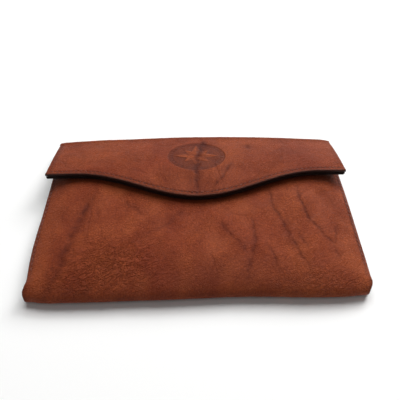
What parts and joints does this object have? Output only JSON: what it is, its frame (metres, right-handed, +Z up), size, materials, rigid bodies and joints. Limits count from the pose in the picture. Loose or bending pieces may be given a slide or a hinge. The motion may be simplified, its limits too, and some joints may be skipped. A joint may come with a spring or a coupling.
{
  "type": "passport holder wallet",
  "caption": "Leather envelope wallet for travel papers, lying on its back, with a pointed flap that hinges open on its rear fold and closes on a hidden press stud.",
  "frame": {"origin": "centre of the outline, on the plane that the back panel lies on", "axes": "+X along the width, +Y from the bottom fold to the flap's fold, +Z up out of the front panel"},
  "size_m": [0.2, 0.132, 0.0213],
  "materials": {
    "outer_leather": "semi-gloss pull-up leather, reddish tan with darker natural veins",
    "inner_leather": "matt brown split leather",
    "lining_cloth": "fine twill lining cloth",
    "board": "bonded fibre board",
    "stud_brass": "antique brass, satin"
  },
  "bodies": {
    "wallet": {"back_panel": "outer_leather", "bottom_fold": "outer_leather", "front_panel": "outer_leather", "rear_fold": "outer_leather", "back_lining": "lining_cloth", "back_facing": "inner_leather", "front_lining": "lining_cloth", "mouth_facing": "inner_leather", "left_gusset": "inner_leather", "right_gusset": "inner_leather", "card_panel": "inner_leather", "card_slot_upper": "inner_leather", "card_slot_middle": "inner_leather", "card_slot_lower": "inner_leather", "divider": "inner_leather", "passport_pocket": "inner_leather", "snap_socket": "stud_brass", "snap_cap": "stud_brass"},
    "flap": {"flap_leather": "outer_leather", "flap_board": "board", "flap_lining": "inner_leather", "snap_stud": "stud_brass"}
  },
  "joints": [
    {"name": "flap_hinge", "type": "hinge", "parent": "wallet", "child": "flap", "pos_m": [0, 0.06, 0.0068], "axis": [-1, 0, 0], "range_deg": [0, 167], "deforming": ["rear_fold"]}
  ]
}
